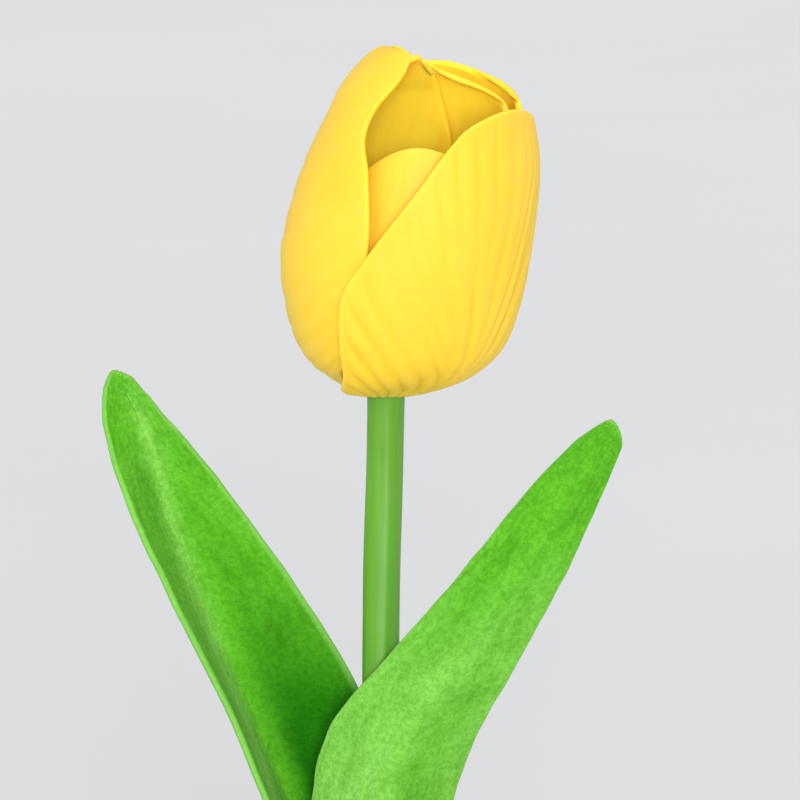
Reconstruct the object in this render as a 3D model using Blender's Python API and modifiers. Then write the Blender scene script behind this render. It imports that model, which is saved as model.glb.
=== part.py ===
"""A single tulip growing in a plain round clay pot, built piece by piece.

Run it with blender --background --python part.py, or from Blender's text editor.
Lengths are in metres, +Z is up, the pot stands on z = 0 with its axis on Z, and the viewer stands at -Y.
"""

import math

import bpy
from mathutils import Matrix, Vector, noise

MM = 0.001
TOUCH_GAP = 0.35 * MM

# Pot
POT_HEIGHT = 92 * MM
POT_RIM_RADIUS = 52 * MM
POT_RIM_DEPTH = 21 * MM
POT_RIM_STEP = 2.6 * MM
POT_BAND_TAPER = 0.8 * MM
POT_FOOT_RADIUS = 36.5 * MM
POT_WALL = 4.6 * MM
POT_FLOOR = 5 * MM
DRAIN_RADIUS = 7 * MM
POT_TURN_STEPS = 40

# Soil and bulb
SOIL_TOP = 82 * MM
SOIL_RELIEF = 1.3 * MM
SOIL_HEAP = 1.6 * MM
SOIL_TURN_STEPS = 40
SOIL_FOOT_SLANT = 2.4 * MM
SOIL_RINGS = 11
BULB_TOP = 72 * MM
BULB_HEIGHT = 42 * MM
BULB_RADIUS = 16 * MM
BULB_SOCKET_DEPTH = 9 * MM
BULB_NECK_COVER = 2.5 * MM
BULB_TURN_STEPS = 24

# Stem
STEM_RADIUS = 3.2 * MM
STEM_TOP = 202.7 * MM
STEM_INTO_BLOOM = 3.2 * MM
STEM_SIDES_RESOLUTION = 3
STEM_STRETCHES = 22

# Bloom: where it sits on the stem, and how it leans
BLOOM_LEAN_RIGHT = math.radians(1)
BLOOM_LEAN_FORWARD = math.radians(5)
PETAL_THICKNESS = 1.0 * MM
PETAL_COLUMNS = 16
PETAL_ROWS = 16
PETAL_FOOT_RADIUS = 3.9 * MM
PETAL_TIP_START = 0.93

# Heart of the bloom
PISTIL_TURN_STEPS = 24
PISTIL_LOBE_DEPTH = 0.16
STAMEN_COUNT = 6
STAMEN_RING_RADIUS = 4.6 * MM
STAMEN_RING_HEIGHT = 5.4 * MM
STAMEN_RING_THICKNESS = 1.5 * MM
STAMEN_SPLAY = 0.16

# Leaves
LEAF_THICKNESS = 1.2 * MM
LEAF_COLUMNS = 12
LEAF_ROWS = 26
LEAF_TIP_START = 0.972
LEAF_FOLD_SOFTNESS = 0.2
LEAF_OPENS = (0.16, 0.44)

# The side view of the bloom, from the stem outwards and up to the tip: (radius, height, how far its middle
# swings to the right) in mm
BLOOM_SIDE = (
    (3.9, 0.9, 0.0), (6.2, 1.0, 0.0), (9.3, 2.3, 0.1), (13.7, 5.0, 1.1), (16.9, 9.0, 1.9),
    (18.9, 15.0, 2.2), (20.1, 23.0, 2.6), (19.8, 32.0, 4.0), (18.6, 40.0, 5.4), (16.5, 46.8, 6.4),
    (14.6, 52.2, 7.2), (11.3, 56.6, 8.0), (7.7, 59.4, 9.0),
)


def smooth_step(low, high, value):
    """0 below low, 1 above high, and an even ease between them."""
    x = min(1.0, max(0.0, (value - low) / (high - low)))
    return x * x * (3 - 2 * x)


def along(points, share):
    """The point at this share of a smooth curve through the points, which are spaced evenly in share."""
    last = len(points) - 1
    place = min(max(share, 0.0), 1.0) * last
    start = min(int(place), last - 1)
    near = [Vector(points[min(max(start + step, 0), last)]) for step in (-1, 0, 1, 2)]
    if start == 0:
        near[0] = 2 * near[1] - near[2]
    if start == last - 1:
        near[3] = 2 * near[2] - near[1]
    x = place - start
    return 0.5 * (
        2 * near[1]
        + (near[2] - near[0]) * x
        + (2 * near[0] - 5 * near[1] + 4 * near[2] - near[3]) * x ** 2
        + (3 * near[1] - near[0] - 3 * near[2] + near[3]) * x ** 3
    )


def value_at(stations, share):
    """A number that runs smoothly through (share, value) stations."""
    for (low, first), (high, second) in zip(stations, stations[1:]):
        if share <= high:
            return first + (second - first) * smooth_step(low, high, share)
    return stations[-1][1]


def clear_scene():
    for obj in list(bpy.data.objects):
        bpy.data.objects.remove(obj)


def clay_or_plant(name, colour, roughness):
    """A matt material: nothing on a potted tulip is metal."""
    material = bpy.data.materials.new(name)
    material.use_nodes = True
    shader = material.node_tree.nodes["Principled BSDF"]
    shader.inputs["Base Color"].default_value = (*colour, 1)
    shader.inputs["Roughness"].default_value = roughness
    shader.inputs["Metallic"].default_value = 0
    return material


def add_object(name, mesh, material):
    obj = bpy.data.objects.new(name, mesh)
    obj.data.materials.append(material)
    bpy.data.collections["potted_tulip"].objects.link(obj)
    return obj


def move_to(obj, collection):
    for home in list(obj.users_collection):
        home.objects.unlink(obj)
    collection.objects.link(obj)


def rounded(corners):
    """The outline through (radius, height, rounding) corners, each rounded corner as a three-point arc."""
    outline = []
    for place, (radius, height, rounding) in enumerate(corners):
        corner = Vector((radius, height))
        if not rounding:
            outline.append(corner)
            continue
        before = Vector(corners[place - 1][:2])
        after = Vector(corners[(place + 1) % len(corners)][:2])
        start = corner + (before - corner).normalized() * rounding
        end = corner + (after - corner).normalized() * rounding
        outline += [start, (start + end + 2 * corner) / 4, end]
    return outline


def turned(name, outline, steps, material, closed=False):
    """A solid of revolution about Z from an outline that runs down its outer side."""
    mesh = bpy.data.meshes.new(name)
    corners = [(point[0], 0, point[1]) for point in outline]
    edges = [(i, i + 1) for i in range(len(corners) - 1)]
    if closed:
        edges.append((len(corners) - 1, 0))
    mesh.from_pydata(corners, edges, [])
    obj = add_object(name, mesh, material)
    screw = obj.modifiers.new("Turn", "SCREW")
    screw.steps = steps
    screw.render_steps = steps
    screw.use_merge_vertices = True
    screw.merge_threshold = 0.00001
    screw.use_smooth_shade = True
    return obj


def make_real(obj):
    """Replaces an object's mesh by what its modifiers make of it, so that code can shape it further."""
    graph = bpy.context.evaluated_depsgraph_get()
    mesh = bpy.data.meshes.new_from_object(obj.evaluated_get(graph))
    obj.modifiers.clear()
    obj.data = mesh
    return obj


def pot_outer_radius(height):
    """The radius of the pot's outer wall under the rim band."""
    top = POT_RIM_RADIUS - POT_RIM_STEP - POT_BAND_TAPER
    share = height / (POT_HEIGHT - POT_RIM_DEPTH)
    return POT_FOOT_RADIUS + (top - POT_FOOT_RADIUS) * share


def pot_inner_radius(height):
    return pot_outer_radius(height) - POT_WALL


def build_pot(material):
    band_foot = POT_HEIGHT - POT_RIM_DEPTH
    outline = rounded((
        (POT_RIM_RADIUS, POT_HEIGHT, 1.8 * MM),
        (POT_RIM_RADIUS - POT_BAND_TAPER, band_foot, 1.2 * MM),
        (pot_outer_radius(band_foot), band_foot, 0),
        (pot_outer_radius(0), 0, 1.4 * MM),
        (DRAIN_RADIUS, 0, 0.8 * MM),
        (DRAIN_RADIUS, POT_FLOOR, 0.8 * MM),
        (pot_inner_radius(POT_FLOOR), POT_FLOOR, 3 * MM),
        (pot_inner_radius(POT_HEIGHT), POT_HEIGHT, 1.6 * MM),
    ))
    turned("pot", outline, POT_TURN_STEPS, material, closed=True)


def bulb_outline(grow=0.0):
    """Half of the bulb's side view from its nose down to its root plate, swollen by grow."""
    shares = ((0.32, 1.0), (0.45, 0.86), (0.7, 0.68), (0.93, 0.48), (1.0, 0.32), (0.9, 0.13), (0.6, 0.02))
    foot = BULB_TOP - BULB_HEIGHT
    return [
        (BULB_RADIUS * wide + grow, foot + BULB_HEIGHT * high + grow * (2 * high - 1))
        for wide, high in shares
    ]


def build_bulb(material):
    """The bulb, with the socket at its nose that the stem grows out of."""
    socket = STEM_RADIUS + TOUCH_GAP
    floor = BULB_TOP - BULB_SOCKET_DEPTH
    side = bulb_outline()
    foot = (0, side[-1][1])
    outline = [(0, floor), (socket, floor), (socket, BULB_TOP)]
    turned("bulb", [*outline, *side, foot], BULB_TURN_STEPS, material)


def soil_relief(x, y):
    """How far the soil's surface rises or sinks at this place: broad swells, level at the pot's wall."""
    swell = noise.noise(Vector((x, y, 0)) * 55) + 0.5 * noise.noise(Vector((x, y, 0.02)) * 140)
    from_wall = smooth_step(0, 12 * MM, pot_inner_radius(SOIL_TOP) - math.hypot(x, y))
    from_stem = smooth_step(8 * MM, 14 * MM, math.hypot(x, y))
    return SOIL_RELIEF * swell * from_stem + SOIL_HEAP * from_wall


def build_soil(material):
    """The soil that fills the pot, with a plain hole for the stem that opens round the bulb below it."""
    gap = TOUCH_GAP
    wall = pot_inner_radius(SOIL_TOP) - gap
    floor = POT_FLOOR + gap
    hole = STEM_RADIUS + gap
    bulb_space = bulb_outline(gap)
    outline = [(0, bulb_space[-1][1]), *reversed(bulb_space)]
    outline += [(hole, bulb_space[0][1] + BULB_NECK_COVER), (hole, SOIL_TOP)]
    rings = [hole + (wall - hole) * (ring / SOIL_RINGS) for ring in range(1, SOIL_RINGS + 1)]
    outline += [(radius, SOIL_TOP) for radius in rings]
    outline += [(pot_inner_radius(floor) - gap - SOIL_FOOT_SLANT, floor), (0, floor)]
    soil = turned("soil", outline, SOIL_TURN_STEPS, material)
    make_real(soil)
    for vertex in soil.data.vertices:
        x, y, z = vertex.co
        if z > SOIL_TOP - 0.01 * MM:
            vertex.co.z = z + soil_relief(x, y)


def bloom_frame():
    """The place and lean of the bloom: its origin is the middle of the stem's top, its Z the bloom's axis."""
    turn = Matrix.Rotation(BLOOM_LEAN_RIGHT, 4, "Y") @ Matrix.Rotation(BLOOM_LEAN_FORWARD, 4, "X")
    return Matrix.Translation((1.0 * MM, -0.4 * MM, STEM_TOP)) @ turn


def build_stem(material):
    """A round stem that rises straight from the bulb and leans a little under the bloom."""
    frame = bloom_frame()
    route = [
        Vector((0, 0, BULB_TOP - BULB_SOCKET_DEPTH + TOUCH_GAP)),
        Vector((0, 0, SOIL_TOP)),
        Vector((0, 0, 110 * MM)),
        Vector((0.1 * MM, 0.1 * MM, 140 * MM)),
        Vector((0.2 * MM, 0.2 * MM, 168 * MM)),
        frame @ Vector((0, 0, -12 * MM)),
        frame @ Vector((0, 0, STEM_INTO_BLOOM)),
    ]
    curve = bpy.data.curves.new("stem", "CURVE")
    curve.dimensions = "3D"
    curve.bevel_depth = STEM_RADIUS
    curve.bevel_resolution = STEM_SIDES_RESOLUTION
    curve.use_fill_caps = True
    spline = curve.splines.new("POLY")
    spline.points.add(STEM_STRETCHES)
    for step, point in enumerate(spline.points):
        point.co = (*along(route, step / STEM_STRETCHES), 1)
    add_object("stem", curve, material)


def petal_point(petal, across, share):
    """A point of a petal's middle surface in the bloom's frame.

    across runs from -1 at the left margin to 1 at the right, and share from 0 at the base to 1 at the tip.
    """
    round_tip = PETAL_TIP_START + (1 - PETAL_TIP_START) * math.sqrt(max(0.0, 1 - across ** 2))
    row = share * round_tip
    left = along(petal["left"], row)
    right = along(petal["right"], row)
    bearing, climb = left.lerp(right, (across + 1) / 2)
    climb += petal["bow"] * (1 - across ** 2) * smooth_step(0.0, 0.8, row)
    climb = min(climb, 0.99)
    side = along(BLOOM_SIDE, climb)
    ahead = along(BLOOM_SIDE, min(climb + 0.01, 1.0)) - along(BLOOM_SIDE, max(climb - 0.01, 0.0))
    outward = Vector((ahead.y, -ahead.x)).normalized()
    offset = -petal["inset"] * smooth_step(0.0, 0.3, climb) - petal["lift"]
    stand = petal["right_out"] if across > 0 else petal["left_out"]
    offset += stand * abs(across) * smooth_step(0.02, 0.22, climb)
    radius, rise = side.xy + outward * offset
    radius = max(radius, PETAL_FOOT_RADIUS / MM)
    turn = math.radians(bearing)
    return Vector((radius * math.sin(turn) + side.z, -radius * math.cos(turn), rise)) * MM


# Each petal lies between a left and a right margin. A margin runs from the base to the tip through
# (bearing, climb) places: bearings go round the bloom's axis in degrees, 0 at the front and 90 at the right,
# and climb is the share of BLOOM_SIDE passed. Bow lifts the middle of a row, also as a share. Left_out and
# right_out are how far the margins stand outwards, so that they lie over or under those of a neighbour.
# These two, inset and lift are in mm.
OUTER = {"inset": 0.0, "lift": 0.0, "bow": 0.025}
INNER = {"lift": 1.6, "left_out": -1.2, "right_out": 0.0, "bow": 0.04}
PETALS = {
    "petal_outer_left": {
        **OUTER, "left_out": 0.4, "right_out": -1.2,
        "left": (
            (-164, 0.0), (-167, 0.224), (-164, 0.368), (-160, 0.483), (-154, 0.588), (-146, 0.692),
            (-134, 0.785), (-114, 0.883), (-86, 0.965), (-56, 0.985),
        ),
        "right": (
            (-60, 0.0), (-50, 0.203), (-30, 0.331), (-21, 0.452), (-21, 0.562), (-31, 0.672),
            (-42, 0.744), (-41, 0.81), (-34, 0.892), (-35, 0.96),
        ),
    },
    "petal_outer_right": {
        **OUTER, "left_out": 0.9, "right_out": 0.6,
        "left": (
            (-50, 0.0), (-45, 0.169), (-33, 0.276), (-31, 0.38), (-29, 0.47), (-19, 0.541),
            (-6, 0.623), (9, 0.717), (29, 0.806),
        ),
        "right": (
            (56, 0.0), (66, 0.203), (84, 0.335), (96, 0.427), (102, 0.507), (105, 0.584),
            (107, 0.647), (106, 0.703), (102, 0.732),
        ),
    },
    "petal_outer_back": {
        **OUTER, "left_out": -1.4, "right_out": -1.3,
        "left": (
            (68, 0.0), (74, 0.212), (76, 0.354), (75, 0.463), (76, 0.568), (79, 0.665), (85, 0.749),
            (98, 0.793), (122, 0.799),
        ),
        "right": (
            (186, 0.0), (188, 0.206), (202, 0.341), (213, 0.444), (219, 0.545), (224, 0.641),
            (227, 0.729), (229, 0.807), (223, 0.862),
        ),
    },
    "petal_inner_front": {
        **INNER, "inset": 2.7,
        "left": (
            (-52, 0.0), (-60, 0.188), (-70, 0.307), (-75, 0.407), (-75, 0.501),
            (-66, 0.591), (-51, 0.663),
        ),
        "right": (
            (36, 0.0), (40, 0.208), (44, 0.355), (44, 0.473), (41, 0.58), (33, 0.673), (19, 0.722),
        ),
    },
    "petal_inner_right": {
        **INNER, "inset": 1.4,
        "left": (
            (58, 0.0), (55, 0.237), (52, 0.41), (54, 0.557), (66, 0.69), (90, 0.777), (129, 0.812),
            (175, 0.853),
        ),
        "right": (
            (154, 0.0), (163, 0.199), (174, 0.337), (184, 0.443), (193, 0.548), (204, 0.66),
            (215, 0.77), (219, 0.869),
        ),
    },
    "petal_inner_left": {
        **INNER, "inset": 2.9, "left_out": -0.4,
        "left": (
            (-176, 0.0), (-186, 0.211), (-196, 0.362), (-203, 0.482), (-203, 0.589), (-200, 0.689),
            (-190, 0.781), (-178, 0.885), (-161, 0.929),
        ),
        "right": (
            (-82, 0.0), (-86, 0.2), (-90, 0.342), (-92, 0.456), (-94, 0.563), (-98, 0.683),
            (-104, 0.798), (-114, 0.896), (-129, 0.975),
        ),
    },
}


def laid_sheet(name, columns, rows, place, thickness, material):
    """A grid whose points are laid on the surface place(across, share), given a thickness both ways."""
    bpy.ops.mesh.primitive_grid_add(x_subdivisions=columns, y_subdivisions=rows, size=2)
    obj = bpy.context.object
    obj.name = obj.data.name = name
    obj.data.materials.append(material)
    for vertex in obj.data.vertices:
        across = math.sin(vertex.co.x * math.pi / 2)
        vertex.co = place(across, (vertex.co.y + 1) / 2)
    solidify = obj.modifiers.new("Thickness", "SOLIDIFY")
    solidify.thickness = thickness
    solidify.offset = 0
    obj.data.shade_smooth()
    move_to(obj, bpy.data.collections["potted_tulip"])


def build_petals(material):
    frame = bloom_frame()
    for name, petal in PETALS.items():
        laid_sheet(
            name, PETAL_COLUMNS, PETAL_ROWS,
            lambda across, share, petal=petal: frame @ petal_point(petal, across, share),
            PETAL_THICKNESS, material,
        )


def build_pistil(material):
    """The ovary with its three-lobed stigma, on the stem's top."""
    foot = STEM_INTO_BLOOM + TOUCH_GAP
    side = (
        (0.0, 20.4), (1.0, 21.0), (3.0, 20.6), (3.4, 19.4), (2.3, 18.2), (1.9, 17.0), (2.6, 12.0), (2.9, 8.0),
    )
    outline = [Vector(place) * MM for place in side] + [Vector((2.2 * MM, foot)), Vector((0, foot))]
    pistil = turned("pistil", outline, PISTIL_TURN_STEPS, material)
    make_real(pistil)
    for vertex in pistil.data.vertices:
        x, y, z = vertex.co
        lobes = 1 + PISTIL_LOBE_DEPTH * math.cos(3 * math.atan2(x, y)) * smooth_step(4 * MM, 18 * MM, z)
        vertex.co = Vector((x * lobes, y * lobes, z))
    pistil.data.transform(bloom_frame())


def stamen_limb(bearing, size_low, size_high, length, start):
    """A tapered rod on the stamen that stands at this bearing; it starts this far above the stamen's foot."""
    outward = Vector((math.sin(bearing), -math.cos(bearing), 0))
    lean = Vector((0, 0, 1)).rotation_difference(Vector((0, 0, 1)) + STAMEN_SPLAY * outward)
    foot = outward * STAMEN_RING_RADIUS + Vector((0, 0, STAMEN_RING_HEIGHT))
    bpy.ops.mesh.primitive_cone_add(
        vertices=8, radius1=size_low, radius2=size_high, depth=length,
        location=foot + lean @ Vector((0, 0, start + length / 2)), rotation=lean.to_euler(),
    )
    return bpy.context.object


def build_stamens(material):
    """Six filaments with long anthers, standing on one low ring round the pistil's foot."""
    limbs = bpy.data.collections.new("stamen_limbs")
    bpy.context.scene.collection.children.link(limbs)
    for number in range(STAMEN_COUNT):
        bearing = math.tau * (number + 0.5) / STAMEN_COUNT
        filament = stamen_limb(bearing, 0.8 * MM, 0.55 * MM, 8.5 * MM, -0.2 * MM)
        anther = stamen_limb(bearing, 1.25 * MM, 0.8 * MM, 9.5 * MM, 7.4 * MM)
        move_to(filament, limbs)
        move_to(anther, limbs)
    bpy.ops.mesh.primitive_torus_add(
        major_radius=STAMEN_RING_RADIUS, minor_radius=STAMEN_RING_THICKNESS / 2,
        major_segments=24, minor_segments=6, location=(0, 0, STAMEN_RING_HEIGHT),
    )
    ring = bpy.context.object
    ring.name = ring.data.name = "stamens"
    ring.data.materials.append(material)
    union = ring.modifiers.new("Join", "BOOLEAN")
    union.operation = "UNION"
    union.operand_type = "COLLECTION"
    union.collection = limbs
    union.solver = "EXACT"
    bpy.ops.object.modifier_apply(modifier="Join")
    for limb in list(limbs.objects):
        bpy.data.objects.remove(limb)
    bpy.data.collections.remove(limbs)
    ring.data.transform(bloom_frame() @ Matrix.Translation(ring.location))
    ring.location = (0, 0, 0)
    move_to(ring, bpy.data.collections["potted_tulip"])


# Each leaf hangs on three lines from its foot to its tip, in mm: its two edges and the fold between them.
LEAVES = {
    "leaf_left": {
        "edge_left": (
            (-1.6, -6.1, 84.0), (-2.2, -6.5, 92), (-5.2, -7.2, 104), (-11.0, -7.0, 117),
            (-18.6, -6.4, 132), (-25.0, -6.0, 148), (-33.4, -5.4, 165), (-41.4, -4.2, 182),
            (-46.0, -2.4, 196.2), (-46.0, -0.8, 204.8),
        ),
        "fold": (
            (-6.2, 0.8, 84.0), (-6.5, 1.2, 91), (-8.0, 3.2, 103), (-11.0, 5.6, 115),
            (-16.0, 7.6, 131), (-22.6, 8.2, 147), (-30.0, 7.2, 165), (-36.0, 5.2, 182),
            (-40.6, 2.4, 197), (-44.8, 0.4, 206.0),
        ),
        "edge_right": (
            (1.6, 6.1, 84.0), (2.2, 6.6, 92), (3.0, 8.8, 106), (3.6, 9.8, 120),
            (1.4, 9.8, 136), (-5.4, 8.2, 153), (-15.6, 5.8, 170), (-26.6, 3.4, 186),
            (-37.0, 1.6, 199.2), (-42.4, 0.4, 205.8),
        ),
    },
    "leaf_right": {
        "edge_left": (
            (-3.9, 1.2, 84.0), (-4.1, 1.6, 91), (-5.8, 1.6, 103), (-8.8, 1.2, 116),
            (-11.6, 0.2, 131), (-8.0, -2.4, 146), (1.6, -6.0, 158.6), (13.4, -8.8, 173),
            (24.4, -11.6, 187.6), (34.6, -15.0, 199.2),
        ),
        "fold": (
            (0.8, -4.1, 84.0), (0.8, -4.4, 91), (0.6, -6.2, 103), (0.2, -8.2, 116),
            (0.2, -9.8, 132), (4.6, -11.0, 146), (13.0, -12.2, 160), (22.4, -13.6, 174),
            (31.6, -14.8, 188), (38.2, -16.0, 200.6),
        ),
        "edge_right": (
            (3.9, 1.2, 84.0), (4.2, 1.6, 91), (6.4, 1.0, 103), (9.4, 0.0, 116),
            (12.2, -2.4, 132), (16.4, -5.8, 145), (23.4, -8.6, 158.6), (30.6, -11.0, 173),
            (36.4, -13.4, 186.6), (41.0, -15.4, 198.4),
        ),
    },
}


def round_the_stem(edge, fold, reach):
    """The place between the fold and an edge, taken round the stem instead of straight across."""
    start = math.atan2(fold[1], fold[0])
    swing = (math.atan2(edge[1], edge[0]) - start + math.pi) % math.tau - math.pi
    radius = Vector(fold[:2]).length * (1 - reach) + Vector(edge[:2]).length * reach
    turn = start + swing * reach
    return Vector((radius * math.cos(turn), radius * math.sin(turn), fold[2] + (edge[2] - fold[2]) * reach))


def leaf_point(leaf, across, share):
    """A point of a leaf's middle surface: across runs from -1 at its left edge to 1 at its right edge.

    Its foot clasps the stem, and further up it opens into two sides that meet softly at the fold.
    """
    tip = LEAF_TIP_START + (1 - LEAF_TIP_START) * math.sqrt(max(0.0, 1 - across ** 2))
    height = share * tip
    edge = along(leaf["edge_left"] if across < 0 else leaf["edge_right"], height)
    other = along(leaf["edge_right"] if across < 0 else leaf["edge_left"], height)
    fold = along(leaf["fold"], height)
    reach = abs(across)
    softened = (math.sqrt(reach ** 2 + LEAF_FOLD_SOFTNESS ** 2) - LEAF_FOLD_SOFTNESS)
    softened /= math.sqrt(1 + LEAF_FOLD_SOFTNESS ** 2) - LEAF_FOLD_SOFTNESS
    middle = (edge + other) / 2
    folded = middle + (edge - middle) * reach + (fold - middle) * (1 - softened)
    clasped = round_the_stem(edge, fold, reach)
    return clasped.lerp(folded, smooth_step(*LEAF_OPENS, height)) * MM


def build_leaves(material):
    for name, leaf in LEAVES.items():
        laid_sheet(
            name, LEAF_COLUMNS, LEAF_ROWS,
            lambda across, share, leaf=leaf: leaf_point(leaf, across, share),
            LEAF_THICKNESS, material,
        )


def main():
    clear_scene()
    bpy.context.scene.collection.children.link(bpy.data.collections.new("potted_tulip"))
    clay = clay_or_plant("clay", (0.62, 0.26, 0.14), 0.85)
    earth = clay_or_plant("soil", (0.045, 0.03, 0.022), 0.95)
    skin = clay_or_plant("bulb_skin", (0.35, 0.17, 0.07), 0.6)
    stalk = clay_or_plant("stem_green", (0.16, 0.42, 0.05), 0.5)
    blade = clay_or_plant("leaf_green", (0.10, 0.45, 0.04), 0.6)
    yellow = clay_or_plant("petal_yellow", (1.0, 0.76, 0.03), 0.55)
    heart = clay_or_plant("pistil_green", (0.55, 0.62, 0.16), 0.5)
    pollen = clay_or_plant("stamen_yellow", (0.85, 0.60, 0.05), 0.7)
    build_pot(clay)
    build_soil(earth)
    build_bulb(skin)
    build_stem(stalk)
    build_leaves(blade)
    build_petals(yellow)
    build_pistil(heart)
    build_stamens(pollen)


main()
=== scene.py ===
"""Dresses the potted tulip: fluted petals, felt-soft leaves, a satin stem, and a plain clay pot of soil."""

import math
import random

import bmesh
import bpy
from mathutils import Matrix, Vector, noise


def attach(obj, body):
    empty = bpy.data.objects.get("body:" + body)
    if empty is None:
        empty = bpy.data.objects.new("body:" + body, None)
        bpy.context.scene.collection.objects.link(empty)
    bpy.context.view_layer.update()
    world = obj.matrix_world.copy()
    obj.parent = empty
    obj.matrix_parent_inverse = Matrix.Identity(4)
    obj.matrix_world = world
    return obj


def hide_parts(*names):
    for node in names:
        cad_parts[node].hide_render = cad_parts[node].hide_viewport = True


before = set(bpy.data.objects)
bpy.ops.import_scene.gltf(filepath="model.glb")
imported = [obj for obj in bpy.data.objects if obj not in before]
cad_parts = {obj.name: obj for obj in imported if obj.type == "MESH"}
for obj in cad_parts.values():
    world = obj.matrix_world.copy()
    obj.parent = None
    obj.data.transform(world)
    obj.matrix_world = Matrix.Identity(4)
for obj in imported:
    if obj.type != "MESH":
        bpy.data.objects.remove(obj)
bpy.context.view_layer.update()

MM = 0.001

# The photo: its frame is 800 px square, and one pixel is this wide at the stem. The stem's axis is at this
# pixel from the left, and the frame's foot cuts the stem at this height.
PIXEL = 0.17 * MM
FRAME_SIDE_PX = 800
STEM_AXIS_PX = 380
FRAME_FOOT_HEIGHT = 132 * MM
VIEW_TILT = math.radians(10)
VIEW_DISTANCE = 0.9
SENSOR_WIDTH_MM = 36

# Pot
POT_HEIGHT = 92 * MM
POT_RIM_RADIUS = 52 * MM
POT_RIM_DEPTH = 21 * MM
POT_RIM_STEP = 2.6 * MM
POT_BAND_TAPER = 0.8 * MM
POT_FOOT_RADIUS = 36.5 * MM
POT_WALL = 4.6 * MM
POT_FLOOR = 5 * MM
POT_SIDES = 168
POT_RING_SPACING = 2.2 * MM
DRAIN_RADIUS = 7 * MM
TOUCH_GAP = 0.35 * MM

# Soil
SOIL_TOP = 82 * MM
SOIL_HEAP = 1.6 * MM
SOIL_RELIEF = 1.3 * MM
SOIL_SIDES = 190
SOIL_RINGS = 62
SOIL_WALL_RINGS = 8
CLOD_RELIEF = 0.75 * MM
CRUMB_COUNT = 900
CRUMB_SEED = 41

# Stem and bloom
STEM_RADIUS = 3.2 * MM
STEM_FOOT = 63.35 * MM
STEM_TOP = 202.7 * MM
STEM_INTO_BLOOM = 3.2 * MM
STEM_SIDES = 64
STEM_STRETCHES = 90
BLOOM_FOOT = (1.0 * MM, -0.4 * MM, STEM_TOP)
BLOOM_LEAN_RIGHT = math.radians(1)
BLOOM_LEAN_FORWARD = math.radians(5)
PETAL_THICKNESS = 1.0 * MM
PETAL_GRID = (150, 130)
PETAL_HALF_WIDTH = 20 * MM
PETAL_LENGTH = 62 * MM
PETAL_ROUNDING = 0.5 * MM
# The tip rounds off over the last part of a petal's rows
PETAL_TIP_START = 0.93
# A climb past the first value is eased, so that it never gets further than the second beyond it
PETAL_TOP_START = 0.965
PETAL_TOP_REACH = 0.028
# In mm: the least radius of any petal, and the side of the closed bloom from its foot up, as radius, height
# and shift to the right
PETAL_FOOT_RADIUS = 3.9
BLOOM_SIDE = (
    (3.9, 0.9, 0.0), (6.2, 1.0, 0.0), (9.3, 2.3, 0.1), (13.7, 5.0, 1.1), (16.9, 9.0, 1.9),
    (18.9, 15.0, 2.2), (20.1, 23.0, 2.6), (19.8, 32.0, 4.0), (18.6, 40.0, 5.4), (16.5, 46.8, 6.4),
    (14.6, 52.2, 7.2), (11.3, 56.6, 8.0), (7.7, 59.4, 9.0),
)

# Leaves
LEAF_THICKNESS = 1.2 * MM
LEAF_GRID = (72, 230)
LEAF_HALF_WIDTH = 11 * MM
LEAF_LENGTH = 130 * MM
LEAF_ROUNDING = 0.6 * MM
LEAF_TIP_START = 0.972
LEAF_FOLD_SOFTNESS = 0.2
# A leaf clasps the stem up to the first of these shares of its length, and is open from the second
LEAF_OPENS = (0.16, 0.44)
LEAF_RIPPLE = 0.35 * MM
LEAF_VEIN = 0.045 * MM
LEAF_UNEVEN_EDGE = 0.3 * MM


def smooth_step(low, high, value):
    """0 below low, 1 above high, and an even ease between them."""
    x = min(1.0, max(0.0, (value - low) / (high - low)))
    return x * x * (3 - 2 * x)


def along(points, share):
    """The point at this share of a smooth curve through the points, which are spaced evenly in share."""
    last = len(points) - 1
    place = min(max(share, 0.0), 1.0) * last
    start = min(int(place), last - 1)
    near = [Vector(points[min(max(start + step, 0), last)]) for step in (-1, 0, 1, 2)]
    if start == 0:
        near[0] = 2 * near[1] - near[2]
    if start == last - 1:
        near[3] = 2 * near[2] - near[1]
    x = place - start
    return 0.5 * (
        2 * near[1]
        + (near[2] - near[0]) * x
        + (2 * near[0] - 5 * near[1] + 4 * near[2] - near[3]) * x ** 2
        + (3 * near[1] - near[0] - 3 * near[2] + near[3]) * x ** 3
    )


def value_at(stations, share):
    """A number that runs smoothly through (share, value) stations."""
    for (low, first), (high, second) in zip(stations, stations[1:]):
        if share <= high:
            return first + (second - first) * smooth_step(low, high, share)
    return stations[-1][1]


# Camera

def aim_camera():
    """Puts the camera where the photo was taken from: square on to the stem, a little above it."""
    camera = bpy.data.objects.new("camera", bpy.data.cameras.new("camera"))
    bpy.context.scene.collection.objects.link(camera)
    towards_viewer = Vector((0, -math.cos(VIEW_TILT), math.sin(VIEW_TILT)))
    up = Vector((0, math.sin(VIEW_TILT), math.cos(VIEW_TILT)))
    half = FRAME_SIDE_PX / 2
    middle = Vector(((half - STEM_AXIS_PX) * PIXEL, 0, FRAME_FOOT_HEIGHT)) + up * half * PIXEL
    camera.location = middle + towards_viewer * VIEW_DISTANCE
    camera.rotation_euler = (-towards_viewer).to_track_quat("-Z", "Y").to_euler()
    camera.data.sensor_width = SENSOR_WIDTH_MM
    camera.data.lens = SENSOR_WIDTH_MM * VIEW_DISTANCE / (FRAME_SIDE_PX * PIXEL)
    camera.data.clip_start = 0.01
    bpy.context.scene.camera = camera


# Modelling by hand

def start_fresh():
    """Leaves edit mode and deselects everything, so that a tool acts on the new piece alone."""
    if bpy.context.object and bpy.context.object.mode != "OBJECT":
        bpy.ops.object.mode_set(mode="OBJECT")
    bpy.ops.object.select_all(action="DESELECT")


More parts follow.
